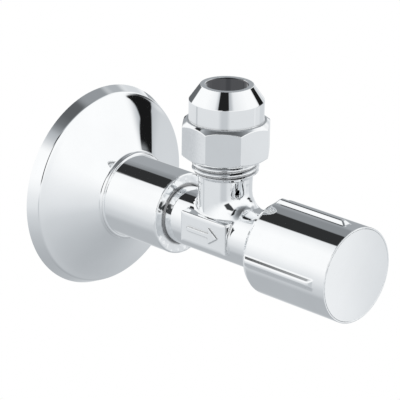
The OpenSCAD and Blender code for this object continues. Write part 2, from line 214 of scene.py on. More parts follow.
def forging_waves(x, s, z, length):
    """Gentle unevenness of a polished forging's surface, between about -1 and 1."""
    k = 2 * math.pi / length
    a = np.sin(k * (x + 0.31 * s) + 1.3) * np.cos(k * (0.83 * z - 0.45 * s) + 0.4)
    b = np.sin(k * 1.7 * (z + 0.27 * x) + 2.1) * np.cos(k * 1.6 * (s - 0.38 * x) + 0.9)
    c = np.sin(k * 0.6 * (s + z + x) + 0.7)
    return 0.45 * a + 0.35 * b + 0.2 * c


def fade(x, start, end):
    """0 at start, 1 at end, and smooth between."""
    t = np.clip((x - start) / (end - start), 0, 1)
    return t * t * (3 - 2 * t)


# ---------------------------------------------------------------- meshes from fields

VOXEL = 0.15        # grid step in mm
MERGE = 0.04        # how readily flat neighbours merge; 0 keeps every face and crisp edges

def gradient(field, p):
    step = 0.004
    g = np.empty_like(p)
    for axis in range(3):
        d = np.zeros(3)
        d[axis] = step
        g[:, axis] = (field(*(p + d).T) - field(*(p - d).T)) / (2 * step)
    return g


def sample_field(field, low, high, voxel):
    """The field on a grid, worked out only in the blocks that the surface crosses."""
    block = 8
    band = 3 * voxel
    counts = np.ceil((high - low) / (voxel * block)).astype(int)
    where = np.stack(np.meshgrid(*[np.arange(n) for n in counts], indexing="ij"), -1)
    centres = low + (where + 0.5) * block * voxel
    d = field(*np.moveaxis(centres, -1, 0))
    reach = 1.25 * block * voxel * math.sqrt(3) / 2 + band
    values = np.where(d > 0, band, -band).astype(np.float32)
    for axis in range(3):
        values = np.repeat(values, block, axis)
    local = np.stack(np.meshgrid(*[np.arange(block)] * 3, indexing="ij"), -1)
    near = np.argwhere(np.abs(d) < reach)
    for chunk in np.array_split(near, max(1, len(near) // 400)):
        index = chunk[:, None, None, None, :] * block + local
        found = field(*np.moveaxis(low + index * voxel, -1, 0))
        i, j, k = np.moveaxis(index, -1, 0)
        values[i, j, k] = np.clip(found, -band, band)
    return values, band


def polygons_to_mesh(name, points, faces, normals):
    """A smooth mesh with the given vertex normals. faces is a list of index arrays."""
    mesh = bpy.data.meshes.new(name)
    sizes = np.concatenate([np.full(len(f), f.shape[1]) for f in faces])
    loops = np.concatenate([f.ravel() for f in faces])
    mesh.vertices.add(len(points))
    mesh.vertices.foreach_set("co", (points * MM).astype(np.float32).ravel())
    mesh.loops.add(len(loops))
    mesh.loops.foreach_set("vertex_index", loops.astype(np.int32))
    mesh.polygons.add(len(sizes))
    starts = np.concatenate([[0], np.cumsum(sizes)[:-1]])
    mesh.polygons.foreach_set("loop_start", starts.astype(np.int32))
    mesh.polygons.foreach_set("use_smooth", np.ones(len(sizes), bool))
    mesh.update(calc_edges=True)
    mesh.normals_split_custom_set_from_vertices(normals.tolist())
    return mesh


def add_object(name, mesh):
    piece = bpy.data.objects.new(name, mesh)
    bpy.context.scene.collection.objects.link(piece)
    return piece


def object_from_field(name, field, low, high, adaptivity):
    """A closed mesh on the zero surface of a field, with the field's own normals."""
    voxel = VOXEL
    margin = 4 * voxel
    low = np.array(low, float) - margin
    high = np.array(high, float) + margin
    values, band = sample_field(field, low, high, voxel)
    grid = openvdb.FloatGrid(background=band)
    grid.copyFromArray(values)
    points, triangles, quads = grid.convertToPolygons(isovalue=0.0, adaptivity=adaptivity)
    p = points.astype(float) * voxel + low
    for _ in range(3):
        g = gradient(field, p)
        size = np.maximum((g * g).sum(1), 0.05)
        p -= np.clip(field(*p.T) / size, -voxel, voxel)[:, None] * g
    g = gradient(field, p)
    normals = g / np.maximum(np.linalg.norm(g, axis=1), 1e-9)[:, None]
    faces = [f.astype(np.int64) for f in (triangles, quads) if len(f)]
    a, b, c = (p[faces[-1][:, i]] for i in range(3))
    if (np.cross(b - a, c - a) * normals[faces[-1][:, 0]]).sum() < 0:
        faces = [f[:, ::-1] for f in faces]
    return add_object(name, polygons_to_mesh(name, p, faces, normals))


# ---------------------------------------------------------------- turned meshes

def outline_points(corners):
    """Points and normals along a closed counterclockwise (r, s) outline.

    A corner is (r, s, radius). A radius of 0 is a sharp corner, and None is a point
    of a smooth curve.
    """
    xy = np.array([c[:2] for c in corners], float)
    out = []
    for i, (r, s, radius) in enumerate(corners):
        d1 = xy[i] - xy[i - 1]
        d2 = xy[(i + 1) % len(xy)] - xy[i]
        d1 /= np.linalg.norm(d1)
        d2 /= np.linalg.norm(d2)
        n1, n2 = np.array([d1[1], -d1[0]]), np.array([d2[1], -d2[0]])
        if radius is None:
            mean = n1 + n2
            out.append((xy[i], mean / np.linalg.norm(mean)))
            continue
        if radius == 0:
            out += [(xy[i], n1), (xy[i], n2)]
            continue
        turn = math.atan2(d1[0] * d2[1] - d1[1] * d2[0], d1 @ d2)
        tangent = radius * math.tan(abs(turn) / 2)
        side = math.copysign(1, turn)
        centre = xy[i] - d1 * tangent - side * radius * n1
        steps = max(2, math.ceil(abs(turn) / math.radians(7)))
        for k in range(steps + 1):
            a = turn * k / steps
            n = np.array([n1[0] * math.cos(a) - n1[1] * math.sin(a),
                          n1[0] * math.sin(a) + n1[1] * math.cos(a)])
            out.append((centre + side * radius * n, n))
    return np.array([p for p, _ in out]), np.array([n for _, n in out])


def turned_object(name, corners, segments=256):
    """A closed ring or disc turned about the valve axis from an (r, s) outline."""
    p, n = outline_points(corners)
    angles = np.linspace(0, 2 * math.pi, segments, endpoint=False)
    cos, sin = np.cos(angles)[:, None], np.sin(angles)[:, None]

    def spin(q):
        return np.stack([cos * q[:, 0], np.broadcast_to(-q[:, 1], (segments, len(q))),
                         sin * q[:, 0]], -1).reshape(-1, 3)

    rings = np.arange(segments)[:, None] * len(p)
    rows = np.arange(len(p))[None, :]
    after = np.roll(rows, -1, 1)
    over = np.roll(rings, -1, 0)
    quads = np.stack([rings + rows, over + rows, over + after, rings + after], -1)
    kept = [j for j in range(len(p)) if np.linalg.norm(p[j] - p[(j + 1) % len(p)]) > 1e-6]
    on_axis = [j for j in kept if p[j][0] < 1e-6 and p[(j + 1) % len(p)][0] < 1e-6]
    kept = [j for j in kept if j not in on_axis]
    mesh = polygons_to_mesh(name, spin(p), [quads[:, kept].reshape(-1, 4)], spin(n))
    return add_object(name, mesh)


# ---------------------------------------------------------------- valve body

def pad_field(x, s, z):
    """Raised flat pad on the barrel's side with a flow arrow standing on it."""
    reach, edge = PAD["reach"], PAD["edge"]
    block = round_slab(s, *PAD["s"], np.maximum(-x - reach, x), edge)
    block = round_slab(z, *PAD["z"], block, edge)
    mid_z = sum(PAD["z"]) / 2
    tail, tip = PAD["s"][0] + ARROW["margin"], PAD["s"][1] - ARROW["margin"]
    neck = tip - ARROW["head"]
    thin, wide = ARROW["shaft_half"], ARROW["head_half"]
    arrow = outline_field(s, z - mid_z, [
        [tail, -thin], [neck, -thin], [neck, -wide], [tip, 0], [neck, wide], [neck, thin],
        [tail, thin]], 0.12)
    raised = round_cut(arrow, -x - reach - ARROW["rise"], 0.12)
    raised = np.maximum(raised, x + reach - 1)
    return round_union(block, raised, 0.12)


def outlet_outside(x, y, z, out):
    """Threaded outlet pipe, without its bore."""
    blank = outline_field(out, z, [
        [-1, 13], [BRANCH_R, 13], [BRANCH_R, THREAD_FOOT - 1.2],
        [OUTLET_THREAD["crest"], THREAD_FOOT], [OUTLET_THREAD["crest"], BRANCH_TOP - 0.6],
        [OUTLET_THREAD["crest"] - 0.6, BRANCH_TOP], [-1, BRANCH_TOP]], 0.1)
    angle = np.arctan2(y + OUTLET_S, x)
    threaded = thread_field(out, z - THREAD_FOOT, angle, blank, OUTLET_THREAD, 0.12)
    plain = round_slab(z, 0, THREAD_FOOT, out - BRANCH_R, 0.1)
    return round_union(plain, threaded, 0.15)


def tail_outside(x, s, z, rad):
    """Threaded tail behind the wall face and the groove of its seal."""
    blank = outline_field(rad, s, [
        [-1, TAIL_END + 0.05], [INLET_R - 1.0, TAIL_END + 0.05], [INLET_R, TAIL_END + 1.05],
        [INLET_R, SEAL_GROOVE[0]], [-1, SEAL_GROOVE[0]]], 0.12)
    threaded = thread_field(rad, s, np.arctan2(z, x), blank, INLET_THREAD, 0.15)
    groove = round_slab(s, SEAL_GROOVE[0] - 1, SEAL_GROOVE[1] + 1, rad - SEAL_GROOVE_R, 0.1)
    return np.minimum(threaded, groove)


def bores_field(rad, s, out, z):
    """Waterway, chamber and tube socket."""
    mouth_r, head_mouth_r = INLET_BORE_R + 0.6, HEAD_BORE_R + 0.18
    floor = SEAT["s"] - SEAT["moat"]
    waterway = outline_field(rad, s, [
        [-1, TAIL_END - 2], [mouth_r, TAIL_END - 2], [mouth_r, TAIL_END],
        [INLET_BORE_R, TAIL_END + 0.6], [INLET_BORE_R, TAPER[0]], [SEAT["bore_r"], TAPER[1]],
        [SEAT["bore_r"], SEAT["s"]], [SEAT["rim_r"], SEAT["s"]], [SEAT["rim_r"], floor],
        [CHAMBER_R, floor], [CHAMBER_R, CHAMBER_END], [HEAD_BORE_R, CHAMBER_END + 0.7],
        [HEAD_BORE_R, BARREL_END - 0.6], [head_mouth_r, BARREL_END],
        [head_mouth_r, BARREL_END + 2], [-1, BARREL_END + 2]])
    socket = outline_field(out, z, [
        [-1, 0], [BRANCH_BORE_R, 0], [BRANCH_BORE_R, SOCKET_FOOT], [TUBE_HOLE_R, SOCKET_FOOT],
        [TUBE_HOLE_R, BRANCH_TOP - 1.4], [TUBE_HOLE_R + 3.4, BRANCH_TOP + 2],
        [-1, BRANCH_TOP + 2]])
    return np.minimum(waterway, socket)


def body_field(x, y, z):
    s = -y
    rad = np.hypot(x, z)
    out = np.hypot(x, s - OUTLET_S)
    waves = forging_waves(x, s, z, 2.6)
    neck = round_cut(rad - NECK_R, s - NECK_END, NECK_ROUND)
    neck = round_cut(neck, SEAL_GROOVE[1] - s, 0.25)
    on_shoulder = fade(s, NECK_END - 1.2, NECK_END - 0.1) * fade(rad, BARREL_R, BARREL_R + 0.8)
    neck = neck + 0.035 * waves * on_shoulder
    barrel = round_cut(rad - BARREL_R, s - BARREL_END, 0.3)
    barrel = np.maximum(barrel, -s)
    casting = round_union(neck, barrel, SHOULDER_FILLET)
    fillet = BRANCH_FILLET[0] + (BRANCH_FILLET[1] - BRANCH_FILLET[0]) * fade(s, 40, 49)
    outlet = outlet_outside(x, y, z, out)
    joined = round_union(casting, outlet, fillet)
    in_fillet = fade(outlet, 0.1, 1.0) * fade(casting, 0.1, 1.0)
    joined = joined + 0.04 * waves * in_fillet
    solid = round_union(joined, pad_field(x, s, z), PAD["fillet"])
    solid = np.minimum(solid, tail_outside(x, s, z, rad))
    return round_cut(solid, -bores_field(rad, s, out, z), 0.15)


# ---------------------------------------------------------------- compression nut

def nut_field(x, y, z):
    out = np.hypot(x, y + OUTLET_S)
    corner = NUT_FLATS / 2 / math.cos(math.pi / NUT_SIDES)
    turns = [NUT_TURN + 2 * math.pi * i / NUT_SIDES for i in range(NUT_SIDES)]
    flats = outline_field(x, y + OUTLET_S, [[corner * math.cos(a), corner * math.sin(a)]
                                            for a in turns], 0.12)
    wide = corner + 0.4
    chamfer = (wide - NUT_CHAMFER_R) * math.tan(NUT_CHAMFER)
    foot, top = NUT_LOW.z, NUT_HIGH.z
    blank = outline_field(out, z, [
        [-1, foot], [NUT_CHAMFER_R, foot], [wide, foot + chamfer],
        [wide, NUT_SHOULDER - chamfer], [NUT_CHAMFER_R, NUT_SHOULDER], [-1, NUT_SHOULDER]])
    collar = outline_field(out, z, [
        [-1, foot + 1], [NUT_COLLAR_R, foot + 1], [NUT_COLLAR_R, NUT_COLLAR_TOP],
        [NUT_LIP_R, top], [-1, top]], 0.14)
    solid = round_union(round_cut(flats, blank, 0.1), collar, 0.12)
    bore_r = NUT_THREAD["crest"] - NUT_THREAD["depth"]
    mouth = outline_field(out, z, [
        [-1, foot - 2], [NUT_THREAD["crest"], foot - 2], [NUT_THREAD["crest"], foot],
        [bore_r, foot + 0.6], [bore_r, NUT_SHOULDER - 1], [-1, NUT_SHOULDER - 1]])
    groove = round_slab(z, foot - 2, NUT_SHOULDER - 1, out - NUT_THREAD["crest"], 0.1)
    angle = np.arctan2(y + OUTLET_S, x)
    groove = thread_field(out, z - THREAD_FOOT + NUT_THREAD["pitch"] / 2, angle, groove,
                          NUT_THREAD, 0.1)
    room = outline_field(out, z, [
        [-1, NUT_SHOULDER - 2], [FERRULE_ROOM_R, NUT_SHOULDER - 2],
        [FERRULE_ROOM_R, NUT_CONE_Z],
        [TUBE_HOLE_R, NUT_CONE_Z + FERRULE_ROOM_R - TUBE_HOLE_R],
        [TUBE_HOLE_R, top - 0.3], [TUBE_HOLE_R + 0.3, top], [TUBE_HOLE_R + 0.3, top + 2],
        [-1, top + 2]])
    cavity = np.minimum(np.minimum(mouth, groove), room)
    return round_cut(solid, -cavity, 0.1)


# ---------------------------------------------------------------- handle

def rib_field(v, u, s):
    """One grip rib: v is the distance outwards, u across the rib and s along it."""
    top, foot = RIB_TOP_R, RIB["foot_r"]
    rise, run = top - foot, RIB["half_foot"] - RIB["half_top"]
    side = ((np.abs(u) - RIB["half_top"]) * rise + (v - top) * run) / math.hypot(rise, run)
    slope, back_slope = RIB["slope"], RIB["back_slope"]
    front = HANDLE_FRONT - RIB["front_gap"] - slope
    front = ((s - front) * rise + (v - top) * slope) / math.hypot(rise, slope)
    back = HANDLE_BACK + RIB["back_gap"]
    back = ((back - s) * rise + (v - top) * back_slope) / math.hypot(rise, back_slope)
    body = round_cut(round_cut(side, v - top, 0.25), np.maximum(front, back), 0.3)
    return np.maximum(body, foot - 1 - v)


def shell_field(x, y, z):
    s = -y
    rad = np.hypot(x, z)
    length, drop = BACK_CHAMFER
    seat_r, seat_s = CAP_R + CAP_GAP, HANDLE_FRONT - CAP_PLATE - CAP_GAP
    shell = outline_field(rad, s, [
        [SHELL_BORE_R, HANDLE_BACK], [HANDLE_R - drop, HANDLE_BACK],
        [HANDLE_R, HANDLE_BACK + length], [HANDLE_R, HANDLE_FRONT], [seat_r, HANDLE_FRONT],
        [seat_r, seat_s], [SHELL_BORE_R, seat_s], [SHELL_BORE_R, SHELL_WEB[1]],
        [SHELL_HOLE_R, SHELL_WEB[1]], [SHELL_HOLE_R, SHELL_WEB[0]],
        [SHELL_BORE_R, SHELL_WEB[0]]], 0.12)
    step = 2 * math.pi / RIBS
    angle = np.arctan2(z, x)
    angle = angle - np.round(angle / step) * step
    rib = rib_field(rad * np.cos(angle), rad * np.sin(angle), s)
    return round_union(shell, rib, 0.15)


def make_cap():
    """Flat front cap with a rounded edge and its snap ring behind."""
    front, back = HANDLE_FRONT, -CAP_HIGH.y
    plate = HANDLE_FRONT - CAP_PLATE
    ring_in, ring_out = SHELL_BORE_R - 1.4, SHELL_BORE_R - 0.05
    return turned_object("front_cap_plate", [
        (0, plate, 0), (ring_in, plate, 0.2), (ring_in, back, 0.2), (ring_out, back, 0.2),
        (ring_out, plate, 0.15), (CAP_R, plate, 0.15), (CAP_R, front, 0.07), (0, front, 0)])


# ---------------------------------------------------------------- rosette

def make_rosette():
    """Pressed sheet bell with a rim band, a hollow face and a short collar."""
    rise = ROSETTE_DEPTH - LIP_H - RIM_H
    run = COLLAR_R + LIP_FLARE - RIM_FRONT_R

    def bell(t, under):
        r = RIM_FRONT_R + run * t
        if under:
            r -= 0.3 * (1 - t)
        return r, RIM_H + rise * t ** BELL_POWER - under, None

    outer = [bell(i / BELL_STEPS, 0) for i in range(4, BELL_STEPS)]
    inner = [bell(i / BELL_STEPS, SHEET + 0.1) for i in range(BELL_STEPS - 1, 1, -1)]
    corners = [(RIM_BACK_R, 0, 0.08), (RIM_FRONT_R, RIM_H, 1.2), *outer,
               (COLLAR_R, ROSETTE_DEPTH - LIP_FOOT, 1.0), (COLLAR_R, ROSETTE_DEPTH, 0.55),
               (HOLE_R, ROSETTE_DEPTH, 0.2), (HOLE_R, ROSETTE_DEPTH - COLLAR_H, 0.1),
               (COLLAR_R, ROSETTE_DEPTH - COLLAR_H, 0.1),
               *inner, (RIM_BACK_R - SHEET - 0.2, 0, 0.1)]
    return turned_object("rosette_sheet", corners, 384)


# ---------------------------------------------------------------- materials

BORE_SHADE_TONE = (0.10, 0.10, 0.105)   # painted shade inside the nut's tube passage
PAINTED_CORNER_SHADE = (0.16, 0.16, 0.165)      # painted shade deep in corners


def new_material(name):
    material = bpy.data.materials.new(name)
    material.use_nodes = True
    tree = material.node_tree
    return material, tree, tree.nodes["Principled BSDF"]


def add_node(tree, kind, inputs=None, **settings):
    """A node with its settings and inputs; an input may be a value or a socket."""
    made = tree.nodes.new(kind)
    for key, value in settings.items():
        setattr(made, key, value)
    for key, value in (inputs or {}).items():
        if isinstance(value, bpy.types.NodeSocket):
            tree.links.new(value, made.inputs[key])
        else:
            made.inputs[key].default_value = value
    return made


def noise(tree, scale, detail=2.0, stretch=(1, 1, 1)):
    """Noise on the object's own coordinates, scale in cycles per millimetre."""
    where = add_node(tree, "ShaderNodeTexCoord").outputs["Object"]
    mapped = add_node(tree, "ShaderNodeMapping", {"Vector": where})
    mapped.inputs["Scale"].default_value = [scale / MM * k for k in stretch]
    made = add_node(tree, "ShaderNodeTexNoise", {"Vector": mapped.outputs[0], "Scale": 1.0,
                                                 "Detail": detail})
    return made.outputs[0]


def remap(tree, value, low, high, start=0.3, end=0.7):
    made = add_node(tree, "ShaderNodeMapRange", {"Value": value, "From Min": start,
                                                 "From Max": end, "To Min": low,
                                                 "To Max": high})
    return made.outputs[0]


def mix_colors(tree, factor, a, b):
    made = add_node(tree, "ShaderNodeMix", data_type="RGBA")
    made.inputs[6].default_value = (*a, 1)
    made.inputs[7].default_value = (*b, 1)
    tree.links.new(factor, made.inputs[0])
    return made.outputs[2]


def shaded(tree, mask, color, dark):
    """The colour socket where the mask is 0 and the dark colour where it is 1."""
    made = add_node(tree, "ShaderNodeMix", {0: mask, 6: color}, data_type="RGBA")
    made.inputs[7].default_value = (*dark, 1)
    return made.outputs[2]


def math_node(tree, operation, a, b=0.0, c=0.0):
    made = add_node(tree, "ShaderNodeMath", {0: a, 1: b, 2: c}, operation=operation)
    return made.outputs[0]


def edge_mask(tree, radius_mm):
    """1 where the surface turns sharply within the radius, 0 where it is even."""
    soft = add_node(tree, "ShaderNodeBevel", {"Radius": radius_mm * MM}, samples=4)
    plain = add_node(tree, "ShaderNodeNewGeometry").outputs["Normal"]
    dot = add_node(tree, "ShaderNodeVectorMath", {0: soft.outputs[0], 1: plain},
                   operation="DOT_PRODUCT").outputs["Value"]
    return remap(tree, dot, 1.0, 0.0, 0.90, 0.995)


def painted_corner_shade_mask(tree, reach_mm):
    """Where painted shade goes: 1 deep in a corner of the piece and 0 on its open surface."""
    open_sky = add_node(tree, "ShaderNodeAmbientOcclusion", {"Distance": reach_mm * MM},
                        samples=8, only_local=True).outputs["AO"]
    return remap(tree, open_sky, 0.8, 0.0, 0.42, 0.9)


def shoulder_shade_mask(tree):
    """Where painted shade goes: 1 in the corner where the neck steps down to the barrel and 0
    away from it.
    """
    place = add_node(tree, "ShaderNodeTexCoord").outputs["Object"]
    axes = add_node(tree, "ShaderNodeSeparateXYZ", {"Vector": place}).outputs
    squares = [math_node(tree, "MULTIPLY", axes[k], axes[k]) for k in "XZ"]
    rad = math_node(tree, "SQRT", math_node(tree, "ADD", *squares))
    off_wall = math_node(tree, "ADD", axes["Y"], (NECK_END + 0.1) * MM)
    off_barrel = math_node(tree, "SUBTRACT", rad, (BARREL_R + 0.1) * MM)
    squares = [math_node(tree, "MULTIPLY", d, d) for d in (off_wall, off_barrel)]
    away = math_node(tree, "SQRT", math_node(tree, "ADD", *squares))
    return remap(tree, away, 0.8, 0.0, 0.25 * MM, 0.75 * MM)


def bore_shade_mask(tree):
    """Where painted shade goes: 1 inside the outlet's round passage and 0 outside it."""
    where = add_node(tree, "ShaderNodeTexCoord").outputs["Object"]
    flat = add_node(tree, "ShaderNodeVectorMath", {0: where, 1: (1, 1, 0)},
                    operation="MULTIPLY").outputs[0]
    off_axis = add_node(tree, "ShaderNodeVectorMath", {0: flat, 1: (0, -OUTLET_S * MM, 0)},
                        operation="DISTANCE").outputs["Value"]
    wide = TUBE_HOLE_R + 0.25
    return remap(tree, off_axis, 1.0, 0.0, (wide - 0.1) * MM, wide * MM)


def chrome(name, ripple=0.0, paint_bore_shade=False, painted_shoulder_shade=False, tint=(0.952, 0.963, 0.970)):
    """Polished chrome plate: faint polish marks, worn edges and slow ripples, with painted
    shade deep in corners, and on request painted shade along the body's shoulder and inside the
    nut's tube passage.
    """
    material, tree, bsdf = new_material(name)
    cloud = noise(tree, 0.09, 3)
    dull = tuple(c * 0.965 for c in tint)
    color = mix_colors(tree, remap(tree, cloud, 0, 1), dull, tint)
    # painted shade: the chrome turns dark deep in corners, where little light reaches
    color = shaded(tree, painted_corner_shade_mask(tree, 0.7), color, PAINTED_CORNER_SHADE)
    # painted shade: a dark line in the corner where the neck meets the barrel
    if painted_shoulder_shade:
        color = shaded(tree, shoulder_shade_mask(tree), color, PAINTED_CORNER_SHADE)
    # painted shade: the nut's tube passage turns near-black
    if paint_bore_shade:
        color = shaded(tree, bore_shade_mask(tree), color, BORE_SHADE_TONE)
    tree.links.new(color, bsdf.inputs["Base Color"])
    bsdf.inputs["Metallic"].default_value = 1.0
    fine = remap(tree, noise(tree, 1.7, 4), 0.012, 0.05)
    worn = math_node(tree, "MULTIPLY", edge_mask(tree, 0.25), 0.05)
    tree.links.new(math_node(tree, "ADD", fine, worn), bsdf.inputs["Roughness"])
    polish = noise(tree, 2.5, 3)
    bump = add_node(tree, "ShaderNodeBump", {"Height": polish, "Distance": 0.02 * MM,
                                             "Strength": 0.02})
    last = bump
    if ripple:
        slow = noise(tree, 0.33, 1)
        last = add_node(tree, "ShaderNodeBump", {"Height": slow, "Distance": ripple * MM,
                                                 "Normal": bump.outputs[0]})
    tree.links.new(last.outputs[0], bsdf.inputs["Normal"])
    return material


def turned_metal(name, color, dark, rough=0.22, groove=0.012):
    """Turned brass or steel: tool rings across the axis, stains and brighter edges."""
    material, tree, bsdf = new_material(name)
    stain = remap(tree, noise(tree, 0.35, 5), 0, 1, 0.35, 0.7)
    tree.links.new(mix_colors(tree, stain, color, dark), bsdf.inputs["Base Color"])
    bsdf.inputs["Metallic"].default_value = 1.0
    rings = noise(tree, 3.2, 2, (0.02, 1, 0.02))
    grain = remap(tree, rings, rough * 0.7, rough * 1.5)
    worn = math_node(tree, "MULTIPLY", edge_mask(tree, 0.2), -0.3 * rough)
    tree.links.new(math_node(tree, "ADD", grain, worn), bsdf.inputs["Roughness"])
    bump = add_node(tree, "ShaderNodeBump", {"Height": rings, "Distance": groove * MM})
    tree.links.new(bump.outputs[0], bsdf.inputs["Normal"])
    return material


def moulded(name, color, dark, rough, grain_scale, depth, sheen=0.0):
    """Rubber, plastic or fibre: fine grain, a little dust tone and uneven gloss."""
    material, tree, bsdf = new_material(name)
    tone = remap(tree, noise(tree, 0.5, 4), 0, 1)
    tree.links.new(mix_colors(tree, tone, color, dark), bsdf.inputs["Base Color"])
    grain = noise(tree, grain_scale, 4)
    uneven = remap(tree, grain, rough * 0.85, min(1.0, rough * 1.2))
    worn = math_node(tree, "MULTIPLY", edge_mask(tree, 0.2), -0.15)
    tree.links.new(math_node(tree, "ADD", uneven, worn), bsdf.inputs["Roughness"])
    bump = add_node(tree, "ShaderNodeBump", {"Height": grain, "Distance": depth * MM})
    tree.links.new(bump.outputs[0], bsdf.inputs["Normal"])
    bsdf.inputs["Sheen Weight"].default_value = sheen
    return material


def finish_with(piece, material):
    piece.data.materials.clear()
    piece.data.materials.append(material)


# ---------------------------------------------------------------- studio

CAMERA_AZIMUTH = -46.117      # degrees round from -Y, as seen from above
CAMERA_ELEVATION = 20.453
CAMERA_ROLL = 0.876
CAMERA_DISTANCE = 569.35
CAMERA_LENS = 206.5
CAMERA_TARGET = (0, -45.81, 0)
CAMERA_OFFSET = (-7.49, 7.44)  # sideways and up, which sets the object in the frame
FLOOR_Z = -45.0
REFLECTED_STRENGTH = 1.06     # of the studio in reflections, against 1 for the camera


def camera_axes():
    """Unit vectors of the camera: right, up and back."""
    az, el = math.radians(CAMERA_AZIMUTH), math.radians(CAMERA_ELEVATION)
    roll = math.radians(CAMERA_ROLL)
    back = Vector((math.sin(az) * math.cos(el), -math.cos(az) * math.cos(el), math.sin(el)))
    right = Vector((math.cos(az), math.sin(az), 0))
    up = back.cross(right)
    return (right * math.cos(roll) + up * math.sin(roll),
            up * math.cos(roll) - right * math.sin(roll), back)


def make_camera():
    right, up, back = camera_axes()
    data = bpy.data.cameras.new("camera")
    data.lens = CAMERA_LENS
    data.sensor_width = 36
    data.clip_start = 0.01
    camera = bpy.data.objects.new("camera", data)
    place = (Vector(CAMERA_TARGET) + back * CAMERA_DISTANCE + right * CAMERA_OFFSET[0]
             + up * CAMERA_OFFSET[1]) * MM
    turn = Matrix((right, up, back)).transposed().to_4x4()
    camera.matrix_world = Matrix.Translation(place) @ turn
    bpy.context.scene.collection.objects.link(camera)
    bpy.context.scene.camera = camera


# Brightness of the studio's walls by height, as (elevation in degrees, display level)
WALLS = [(-90, 0.64), (-62, 0.70), (-45, 0.75), (-28, 0.81), (-18, 0.875), (-6, 0.92),
         (3, 0.96), (12, 0.985), (38, 0.985), (45, 0.96), (50, 0.92), (55, 0.74),
         (62, 0.57), (70, 0.45), (80, 0.38), (90, 0.37)]

# The side angle jumps by a whole turn here, behind the valve, where nothing shows it
SIDE_START = -192.0

# Cards round the object. Their corners are (side, height) in degrees, counterclockwise,
# where side is measured from the camera and positive to its right. Softness is the
# half width of a card's edge in degrees, and a later card hides an earlier one.
CARDS = {
    # In front, below and above the camera: the nut's middle flat, fillets and cone
    "below_camera": {"corners": [(-20, -32), (6, -32), (6, -10), (-20, -10)],
                     "soft": 7, "level": 0.775},
    "camera_stand": {"corners": [(-16, 4), (6, 4), (4, 45), (-13, 45)],
                     "soft": 3, "level": 0.26},
    "front_ceiling": {"corners": [(-41, 46), (22, 46), (22, 60), (-41, 60)],
                      "soft": 8, "level": 0.72},
    "over_camera": {"corners": [(-33.5, 46), (9, 46), (9, 57), (-33.5, 57)],
                    "soft": 2, "level": 0.15},
    # Behind and above: the dark bands along the neck and the handle
    "back_wall": {"corners": [(-206, -12), (-150, -12), (-150, 40), (-206, 40)],
                  "soft": 3, "level": 0.63},
    "back_strip": {"corners": [(-174, -16), (-133, 8), (-133, 17), (-174, -3)],
                   "soft": 2, "level": 0.40},
    "back_ceiling": {"corners": [(-180, 34), (-154, 40), (-154, 56), (-180, 50)],
                     "soft": 3, "level": 0.54},
    "black_ceiling": {"corners": [(-156, 43), (-117, 45), (-117, 57), (-156, 56)],
                      "soft": 1.6, "level": 0.20},
    # To the right behind the valve: the grey run of the rosette's rim
    "right_ceiling": {"corners": [(126, 54), (150, 45), (176, 45), (176, 74), (135, 84),
                                  (105, 84), (100, 72)], "soft": 7, "level": 0.58},
    "right_upper": {"corners": [(143, 26), (176, 26), (176, 47), (143, 47)],
                    "soft": 7, "level": 0.69},
    "right_middle": {"corners": [(150, 4), (176, 4), (176, 26), (150, 26)],
                     "soft": 6, "level": 0.84},
    # Low on the left and on the right: undersides, and the far side of the rosette
    "low_left": {"corners": [(-175, -60), (-95, -60), (-95, -38), (-175, -38)],
                 "soft": 6, "level": 0.70},
    "right_wall": {"corners": [(120, -28), (156, -28), (156, 6), (120, 6)],
                   "soft": 4, "level": 0.82},
    # Black flag at the right: the wedge on the rosette's face, and the shade round it
    "flag_shade": {"corners": [(98, 12), (104, 5), (114, -2), (128, 0), (142, 4), (147, 10),
                               (120, 24), (110, 20), (101, 16)], "soft": 6.5, "level": 0.74},
    "right_flag": {"corners": [(98.5, 13), (104, 8.6), (110, 5), (114, 3), (121, 5), (122, 6),
                               (115.5, 14.2), (110, 14.8), (104, 15.2)],
                   "soft": 0.7, "level": 0.12},
    "flag_tail": {"corners": [(114.6, 13.2), (121, 5), (128.5, 5), (128.5, 6.5), (112.9, 19.5)],
                  "soft": 0.7, "level": 0.12},
    "far_flag": {"corners": [(117.5, 16.5), (139, 6), (142.5, 9), (120, 22.5)],
                 "soft": 1.0, "level": 0.13},
    # Beside the valve: the fade across the handle's front, and a crisp edge on the nut
    "bright_front": {"corners": [(94, -30), (96.6, -30), (96.6, -14), (94, -14)],
                     "soft": 1.0, "level": 0.935},
    "left_edge": {"corners": [(-106, -24), (-98.88, -24), (-98.88, -14), (-106, -14)],
                  "soft": 0.03, "level": 0.775},
}


def smooth_step(tree, value, edge, soft):
    made = add_node(tree, "ShaderNodeMapRange", {
        "Value": value, "From Min": edge - soft, "From Max": edge + soft},
        interpolation_type="SMOOTHSTEP")
    return made.outputs[0]


def inside_mask(tree, place, corners, soft):
    """1 inside a convex outline and 0 outside it. place holds (side, height, 1)."""
    mask = 1.0
    for (x0, y0), (x1, y1) in zip(corners, corners[1:] + corners[:1]):
        length = math.hypot(x1 - x0, y1 - y0)
        nx, ny = (y0 - y1) / length, (x1 - x0) / length
        edge = (nx, ny, -nx * x0 - ny * y0)
        distance = add_node(tree, "ShaderNodeVectorMath", {0: place, 1: edge},
                            operation="DOT_PRODUCT").outputs["Value"]
        mask = math_node(tree, "MULTIPLY", smooth_step(tree, distance, 0.0, soft), mask)
    return mask


def display_level(level):
    """Linear light that shows as this level on a screen, with a cool cast in the greys."""
    cast = 0.10 * level * level * (1 - level)
    return [(level + shift) ** 2.2 for shift in (-cast, 0, cast)] + [1]


